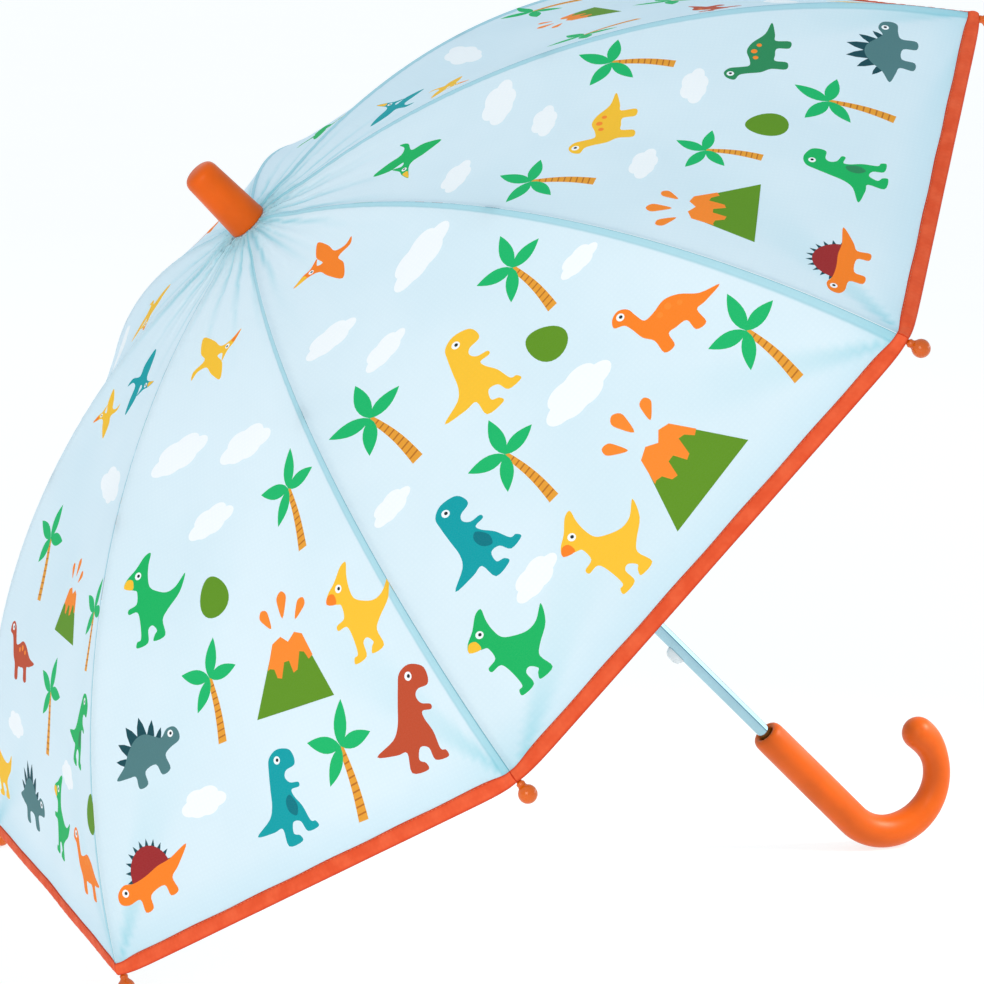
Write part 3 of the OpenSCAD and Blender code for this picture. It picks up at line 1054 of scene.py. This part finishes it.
# the folded ribbon's outline, (along the gore from the rim, out of it), and its share
# across the ribbon for the colour
SECTION_OUT = [
    (-7.9, 0.1), (-7.5, 0.5), (-6.4, 0.62), (-5.0, 0.86), (-3.4, 1.0), (-1.8, 0.95),
    (-0.4, 0.7), (0.5, 0.3), (0.8, -0.15),
]
SECTION_IN = [
    (0.4, -0.65), (-0.8, -0.92), (-2.4, -1.0), (-4.2, -0.9), (-5.8, -0.7), (-7.0, -0.55),
    (-7.4, -0.2),
]
SECTION = np.array(SECTION_OUT + SECTION_IN) * [0.94, 1]
SHARE = np.r_[np.linspace(0, 1, 9), np.linspace(1, 0, 8)[1:]]
TIP_LAP = 0.12  # the two halves of a ribbon overlap on the rib
FIRST_STITCH, STITCH_STEP, BARE_END = 1.4, 2.7, 14
STITCH_IN, STITCH_UP = 6.7, 0.66  # the stitches' place from the rim, and their height


def faces_for(side, faces):
    """The faces, turned over on the side that mirrors them."""
    return faces if side > 0 else [f[::-1] for f in faces]


def stitch(path, ways):
    """A short thread through four points, each with the two ways across it."""
    c = circle(6)
    return rings_mesh([
        p + r * (c[:, :1] * up + c[:, 1:] * over)
        for p, r, (up, over) in zip(path, (0.08, 0.2, 0.2, 0.08), ways)
    ])


def ribbon_ring(g, side, edge):
    """The folded ribbon's section where it is edge mm from the tip."""
    w = GORE_WAVES[g]
    u = 1 - edge / RIM_HALF
    t_rim = side * RIM_HALF * u
    pucker = 0.22 * math.sin(t_rim * 0.55 + w[13]) + 0.14 * math.sin(t_rim * 1.3 + w[14])
    pucker *= 1 - math.exp(-edge / 4)
    wide = 1 + 0.02 * math.sin(t_rim * 0.13 + w[15]) * (1 - u**6)
    wide -= 0.25 * math.exp(-((edge / 10) ** 2))
    # two creases cross the ribbon where it turns at the tip
    near = math.exp(-((edge / 17) ** 2))
    gather = -0.75 * near * np.exp(-(((edge - 2.5 - 9 * SHARE) / 1.0) ** 2))
    gather -= 0.6 * near * np.exp(-(((edge - 13 + 8 * SHARE) / 1.1) ** 2))
    gather += 0.4 * near * np.sin(0.55 * edge + 3 * SHARE + 0.7)
    s = rim_s(t_rim) + SECTION[:, 0] * wide
    t = side * (u * half_width(s) + (TIP_LAP if edge == 0 else 0))
    swell = np.where(SECTION[:, 1] > 0, 1, 0.6) * (pucker + gather)
    swell = swell * np.sin(math.pi * SHARE)
    return cloth_point(g, s, t, off=SECTION[:, 1] + swell * 0.6)


def make_binding(g, side, rib, letter):
    """The orange ribbon folded over half a gore's rim, with its row of stitches."""
    edges = np.r_[np.arange(0, 16, 0.8), np.linspace(16, RIM_HALF, 44)]
    rings = [ribbon_ring(g, side, edge) for edge in edges]
    n = len(SECTION)
    pts, faces = rings_mesh(rings, False, False)
    b = Build()
    b.take(pts, faces_for(side, faces))
    for ring, end in ((rings[0], range(n)), (rings[-1], range(n)[::-1])):
        b.take(ring, [tuple(end)[::side]], flat=True)
    across = [np.tile(SHARE, len(rings)), SHARE, SHARE]
    folded = SECTION[:, 0] + (SECTION[:, 1] < 0) * 20
    along = np.repeat(RIM_HALF - edges, n)
    cut = [np.c_[along, np.tile(folded, len(rings))], SECTION, SECTION]
    middle = FIRST_STITCH
    while middle < RIM_HALF - BARE_END:
        path, ways = [], []
        for k in (-0.95, -0.6, 0.6, 0.95):
            t = side * (middle + k)
            s = rim_s(t) - STITCH_IN
            path.append(spot_on(g, s, t, STITCH_UP))
            ahead = spot_on(g, s + 1.0, t, STITCH_UP) - path[-1]
            ways.append((normal_on(g, s, t), ahead / np.linalg.norm(ahead)))
        p, f = stitch(path, ways)
        b.take(p, faces_for(side, f), 1)
        across.append(np.full(len(p), 0.5))
        cut.append(np.tile([[middle, 0.0]], (len(p), 1)))
        middle += STITCH_STEP
    obj = b.piece(f"binding_{rib}{letter}", [MAT["binding"], MAT["thread"]])
    set_points(obj.data, "across", np.concatenate(across))
    set_cut(obj.data, np.concatenate(cut) / 1000)
    return obj


# ---------------- ribs, joints and tips
def make_rib(i):
    """One rib's wires, stretcher bracket, eye and ball tip."""
    turn = rib_turn(i)

    def put(builder, name, mats):
        builder.points = [p @ turn.T for p in builder.points]
        return builder.piece(name, mats)

    b = Build()
    angles = np.linspace(math.radians(0.2), joint_angle - 4.3 / ARC_R, 26)
    b.take(*tube(arc_point(angles), WIRE_R, 12))
    wire = put(b, f"rib_wire_{i}", [MAT["wire"]])
    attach(wire, f"rib_inner_{i}")

    b = Build()
    p, f = washer(0.66, 2.1, -1.4, 1.4)
    b.take(p + CROWN, f)
    cheek = (
        arc(0, 0, 1.3, 0, 90, 6)
        + [(-7.0, 1.3), (-7.0, -2.0), (-3.2, -2.0), (-2.4, -2.9)]
        + arc(0, -DROP, 2.4, -180, 0, 12)
        + [(2.4, -4.0), (1.9, -2.6)]
    )
    head, head_faces = lathe([(0.2, 0.45), (0.75, 0.42), (1.05, 0.15), (1.05, 0)], 16)
    for s in (-1, 1):
        p, f = plate(cheek, s * 1.5, s * 2.3)
        b.take(place_on_arc(p, joint_angle), faces_for(s, f), flat=True)
        for z in (0, -DROP):
            q = np.stack([head[:, 0], s * (2.3 + head[:, 2]), z + head[:, 1]], -1)
            b.take(place_on_arc(q, joint_angle), faces_for(s, head_faces))
    block = [(-7.0, 1.3), (-7.0, -2.0), (-3.3, -2.0), (-3.3, 1.3)]
    p, f = plate(block, -1.5, 1.5, 0.05)
    b.take(place_on_arc(p, joint_angle), f, flat=True)
    c = circle(12, 0.8)
    for z in (0, -DROP):
        p, f = rings_mesh(
            [np.c_[c[:, 0], np.full(12, y), c[:, 1] + z] for y in (-2.4, 2.4)]
        )
        b.take(place_on_arc(p, joint_angle), f)
    bracket = put(b, f"rib_joint_{i}", [MAT["wire"]])
    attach(bracket, f"rib_inner_{i}")
    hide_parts(f"rib_inner_{i}")
    flatten(wire)

    b = Build()
    angles = np.linspace(joint_angle + 1.0 / ARC_R, rib_end, 32)
    path = arc_point(angles)
    tangent = np.array([math.cos(rib_end), 0, -math.sin(rib_end)])
    path = np.r_[path, [path[-1] + tangent * 2.0], [path[-1] + tangent * 4.0]]
    b.take(*tube(path, WIRE_R, 12))
    outer = put(b, f"rib_wire_outer_{i}", [MAT["wire"]])
    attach(outer, f"rib_outer_{i}")
    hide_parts(f"rib_outer_{i}")
    flatten(outer)

    b = Build()
    p, f = washer(0.86, 1.3, -1.4, 1.4, 16)
    b.take(place_on_arc(p, joint_angle), f)
    knuckle = put(b, f"rib_eye_{i}", [MAT["wire"]])
    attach(knuckle, f"rib_outer_{i}")

    # the neck is thin where the hem lies over it, then swells into the ball
    profile = [
        (1.15, 1.0), (1.32, 1.4), (1.34, 6.0), (1.6, 6.5), (2.05, 6.9), (2.1, 7.4),
        (1.98, 8.0), (2.05, 8.5), (2.3, 9.0),
    ]
    profile += [(abs(r), z) for r, z in arc(0, BALL_REACH, BALL_R, 234, 90, 16)]
    b = Build()
    p, f = lathe(profile, 32)
    q = p @ LAY_Z_ALONG_X.T
    b.take(place_on_arc(q, rib_end), f)
    tip = put(b, f"tip_ball_{i}", [MAT["tip"]])
    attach(tip, f"rib_outer_{i}")
    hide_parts(f"tip_{i}")
    finish_node(f"stretcher_{i}", "wire")
    return wire, outer


rib_pieces = {i: make_rib(i) for i in range(1, RIBS + 1)}
for g in range(1, RIBS + 1):
    for side, (obj, rib, letter, area) in make_cloth(g).items():
        edge = make_binding(g, side, rib, letter)
        body = f"gore_{rib}{letter}"
        for piece in (obj, edge):
            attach(piece, body)
        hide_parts(body)
        for piece in (obj, edge):
            flatten(piece)


# ---------------- tie strap
STRAP_LINE, STRAP_HALF = -32.0, 9.5  # its middle across the gore, and half its width
STRAP_HEM = 8.3  # from its middle to each row of stitches
STRAP_STEP = 2.8  # from one stitch to the next


def make_strap():
    """The closing strap, laid on the second gore, with a row of stitches on each side."""
    g = 2
    s_from, s_to = ARC_R * math.radians(35.2), ARC_R * math.radians(49.9)
    n_s, n_t = 46, 9
    s_rows = np.linspace(s_from, s_to, n_s)
    t_rows = np.linspace(STRAP_LINE - STRAP_HALF, STRAP_LINE + STRAP_HALF, n_t)
    s, t = np.meshgrid(s_rows, t_rows, indexing="ij")
    share = (t - t_rows[0]) / (t_rows[-1] - t_rows[0])
    end = np.minimum(s - s_from, s_to - s) / 6
    off = 0.75 + 0.45 * np.sin(math.pi * share) ** 0.5 * smooth(end, 0, 1)
    off = off + 0.12 * np.sin(s * 0.12) - 0.16 * np.exp(-(((share - 0.12) / 0.03) ** 2))
    top = cloth_point(g, s.ravel(), t.ravel(), off=off.ravel())
    faces = []
    for a in range(n_s - 1):
        for b in range(n_t - 1):
            k = a * n_t + b
            faces.append((k, k + n_t, k + n_t + 1, k + 1))
    obj = mesh_piece("tie_strap_cloth", top, faces, [MAT["strap"]])
    set_cut(obj.data, np.c_[t.ravel(), s.ravel()] / 1000)
    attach(obj, "gore_2b")
    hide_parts("tie_strap")
    stitches = Build()
    _, over = gore_frame(g)
    for t_line in (STRAP_LINE - STRAP_HEM, STRAP_LINE + STRAP_HEM):
        at = s_from + 2
        while at < s_to - 3:
            path = [spot_on(g, at + k, t_line, 1.12) for k in (0, 0.3, 1.5, 1.8)]
            p, f = stitch(path, [(normal_on(g, at, t_line), over)] * len(path))
            stitches.take(p, faces_for(-1, f))
            at += STRAP_STEP
    thread = stitches.piece("tie_strap_stitches", [MAT["pale_thread"]])
    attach(thread, "gore_2b")
    for piece in (obj, thread):
        flatten(piece)


make_strap()


# ---------------- handle, cap, catches
def hook_at(a):
    """The middle of the crook's bar after a turn of a, and the way out of the bend."""
    outward = np.array([math.cos(a), 0, math.sin(a)])
    middle = np.array([HOOK_R * (1 - math.cos(a)), 0, BEND_Z - HOOK_R * math.sin(a)])
    return middle, outward


def make_handle():
    """The crook, from the mouth round the hook to its bulb, with its two mould lines."""
    n = 56
    c = circle(n)
    seam_turn = np.abs(np.arctan2(c[:, 1], c[:, 0]))
    ridge = 0.05 * (
        np.exp(-(seam_turn / 0.035) ** 2) + np.exp(-((math.pi - seam_turn) / 0.035) ** 2)
    )
    rings = []
    lip = [
        (SHAFT_R + 0.1, -9.0), (SHAFT_R + 0.7, -9.0), (4.5, -5.0), (4.55, -1.8),
        (4.85, -1.0), (5.4, -0.35), (6.2, -0.02), (6.9, -0.05), (7.7, -0.45),
        (8.4, -1.2), (8.9, -2.3), (MOUTH_R, -3.8),
    ]
    for r, dz in lip:
        rings.append(np.c_[c * r, np.full(n, MOUTH_Z + dz)])
    for z in np.linspace(MOUTH_Z - 8, BEND_Z, 18):
        u = (MOUTH_Z - z) / (MOUTH_Z - BEND_Z)
        r = MOUTH_R + 0.1 + (GRIP_R - MOUTH_R - 0.1) * smooth(u, 0.1, 0.7)
        rr = r + ridge
        rings.append(np.c_[c[:, 0] * rr, c[:, 1] * rr, np.full(n, z)])
    total = HOOK_R * HOOK_TURN
    for d in np.linspace(2.5, total, 64):
        u = d / total
        r = GRIP_R + (NECK_R - GRIP_R) * smooth(u, 0.28, 0.74)
        r += (BULB_R - NECK_R) * smooth(u, 0.78, 0.99)
        mid, outward = hook_at(d / HOOK_R)
        rings.append(
            mid + (r + ridge)[:, None] * (c[:, :1] * outward + c[:, 1:] * ACROSS)
        )
    mid, outward = hook_at(HOOK_TURN)
    ahead = np.array([math.sin(HOOK_TURN), 0, -math.cos(HOOK_TURN)])
    for b in np.linspace(0, math.pi / 2, 12)[1:]:
        r = BULB_R * math.cos(b) + 1e-3
        rings.append(
            mid
            + ahead * BULB_R * math.sin(b)
            + r * (c[:, :1] * outward + c[:, 1:] * ACROSS)
        )
    pts, faces = rings_mesh(rings, False, True)
    obj = mesh_piece("crook_handle", pts, faces_for(-1, faces), [MAT["handle"]])
    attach(obj, "frame")
    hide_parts("handle")


def make_cap():
    """The ferrule's tapered cap, with a rolled foot and a rounded end."""
    base, top = 4.1, 44.6
    profile = [
        (4.2, base + 0.15), (9.9, base), (10.5, base + 0.2), (10.8, base + 0.8),
        (10.78, base + 2.0),
    ]
    for z in np.linspace(base + 4, top - 5.2, 15):
        u = (z - base) / (top - base)
        profile.append((10.78 - 1.5 * u, z))
    for a in np.linspace(0.08, 1.15, 10):
        profile.append((9.3 * math.cos(a) ** 0.62, top - 4.9 + 4.7 * math.sin(a)))
    profile += [(4.2, top - 0.35), (2.6, top - 0.12), (1.2, top - 0.03), (0.01, top)]
    pts, faces = lathe(profile, 72)
    obj = mesh_piece("ferrule", pts, faces, [MAT["cap"]])
    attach(obj, "frame")
    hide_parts("ferrule_cap")


def make_patch():
    """The little round of cloth under the ferrule, gathered in soft waves."""
    rings = []
    n = 96
    a = np.linspace(0, 2 * math.pi, n, endpoint=False)
    for r in (4.0, 6.0, 8.0, 9.2, 10.2, 11.0, 11.5):
        wave = 0.05 * np.sin(8 * a) * smooth(r, 8, 11)
        ripple = 0.03 * np.sin(19 * a + 0.7) * smooth(r, 9, 11)
        z = 4.02 - 0.05 * max(r - 10, 0) + wave + ripple
        rings.append(np.c_[r * np.cos(a), r * np.sin(a), z + np.zeros(n)])
    rim = rings[-1]
    rings.append(rim * (1.005, 1.005, 1) - (0, 0, 0.35))  # the edge is turned under
    rings.append(rim * (0.97, 0.97, 1) - (0, 0, 0.4))
    pts, faces = rings_mesh(rings, False, False)
    obj = mesh_piece("crown_cloth", pts, faces, [MAT["strap"]])
    set_cut(obj.data, pts[:, :2] / 1000)
    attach(obj, "frame")
    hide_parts("crown_patch")


def make_catch(name, z):
    """A spring button: a rounded tab that stands out of the shaft, with a foot inside."""
    reach, back, half, corner = 8.2, 1.6, 6.0, 4.6
    outline = []
    for cx, cz, a0 in (
        (-reach + corner, half - corner, 90), (-reach + corner, -half + corner, 180),
    ):
        outline += arc(cx, cz, corner, a0, a0 + 90, 8)
    outline += [
        (-back - 1, -half), (-back - 1, -half - 2), (-back, -half - 2), (-back, half + 2),
        (-back - 1, half + 2), (-back - 1, half),
    ]
    pts, faces = plate(outline, -1.2, 1.2, 0.6)
    faces = faces_for(-1, faces)
    obj = mesh_piece(name + "_tab", pts + [0, 0, z], faces, [MAT["catch"]])
    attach(obj, name)
    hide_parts(name)


make_handle()
make_cap()
make_patch()
make_catch("top_catch", top_catch_z)
make_catch("bottom_catch", bottom_catch_z)

for name, mat in (
    ("shaft_tube", "shaft"), ("crown_hub", "white"), ("runner", "white"),
    ("crown_wire", "wire"), ("runner_wire", "wire"),
):
    finish_node(name, mat)


# ---------------- floor and lights
FLOOR_HALF = 14.0


def panel(name, corners, mat):
    """One flat face of the set, which isn't part of the object."""
    mesh = bpy.data.meshes.new(name)
    mesh.from_pydata(corners, [], [(0, 1, 2, 3)])
    mesh.materials.append(mat)
    obj = link(bpy.data.objects.new(name, mesh))
    return obj


def make_floor():
    m = Nodes("studio_floor")
    soft = m.noise(m.coords(), 3, 2)
    colour = m.mix(soft, (0.29, 0.29, 0.285, 1), (0.31, 0.31, 0.305, 1))
    mat = m.done(m.shader(
        0.85, {"Base Color": colour}, Specular_IOR_Level=0.1,
        Emission_Strength=0.77, Emission_Color=(1, 0.99, 0.985, 1),
    ))
    e = FLOOR_HALF
    panel("floor", [(-e, -e, 0), (e, -e, 0), (e, e, 0), (-e, e, 0)], mat)


def hang(data, place, target, power, rgb):
    data.energy, data.color = power, rgb
    obj = link(bpy.data.objects.new(data.name, data))
    obj.location = place
    aim = Vector(target) - Vector(place)
    obj.rotation_euler = aim.to_track_quat("-Z", "Y").to_euler()


def area_light(name, place, target, size, power, rgb=(1, 1, 1)):
    data = bpy.data.lights.new(name, "AREA")
    data.shape = "RECTANGLE"
    data.size, data.size_y = size
    hang(data, place, target, power, rgb)


def spot_light(name, place, target, degrees, power, rgb):
    data = bpy.data.lights.new(name, "SPOT")
    data.spot_size, data.spot_blend = math.radians(degrees), 0.7
    data.shadow_soft_size = 0.2
    hang(data, place, target, power, rgb)


def make_flag(name, middle, wide, high):
    """A narrow dark panel at the set's side that draws a thin line along the chrome."""
    m = Nodes(name)
    soft = m.noise(m.coords(), 5, 2)
    colour = m.mix(soft, (0.01, 0.02, 0.03, 1), (0.02, 0.03, 0.04, 1))
    mat = m.done(m.shader(0.9, {"Base Color": colour}, Specular_IOR_Level=0.0))
    x, y, z = middle
    over = np.array([-y, x]) / math.hypot(x, y) * wide / 2
    corners = [
        (x + k * over[0], y + k * over[1], z + up * high / 2)
        for k, up in ((-1, -1), (1, -1), (1, 1), (-1, 1))
    ]
    panel(name, corners, mat).visible_camera = False


make_floor()
make_flag("flag_front", (1.66, -1.52, 0.25), 0.15, 0.5)
make_flag("flag_back", (1.75, 2.05, 0.13), 0.26, 0.26)
world = bpy.data.worlds.new("studio")
scene.world = world
world.use_nodes = True
background = world.node_tree.nodes["Background"]
background.inputs["Color"].default_value = (0.72, 0.88, 0.97, 1)
background.inputs["Strength"].default_value = 0.8
area_light("key", (-1.4, -2.0, 1.1), (0, 0, 0.2), (1.2, 1.2), 21, (1, 0.8, 0.62))
area_light("back", (0.3, 2.2, 1.6), (0, 0, 0.25), (2.0, 1.2), 3)
area_light("side", (1.65, 0.0, 0.6), (0.1, 0, 0.2), (2.4, 0.45), 5.5)
spot_light(
    "handle_spot", (0.92, -0.45, 0.85), (0.235, -0.01, 0.07), 24, 70, (1, 0.94, 0.76)
)
scene.view_settings.view_transform = "Standard"
scene.view_settings.look = "None"
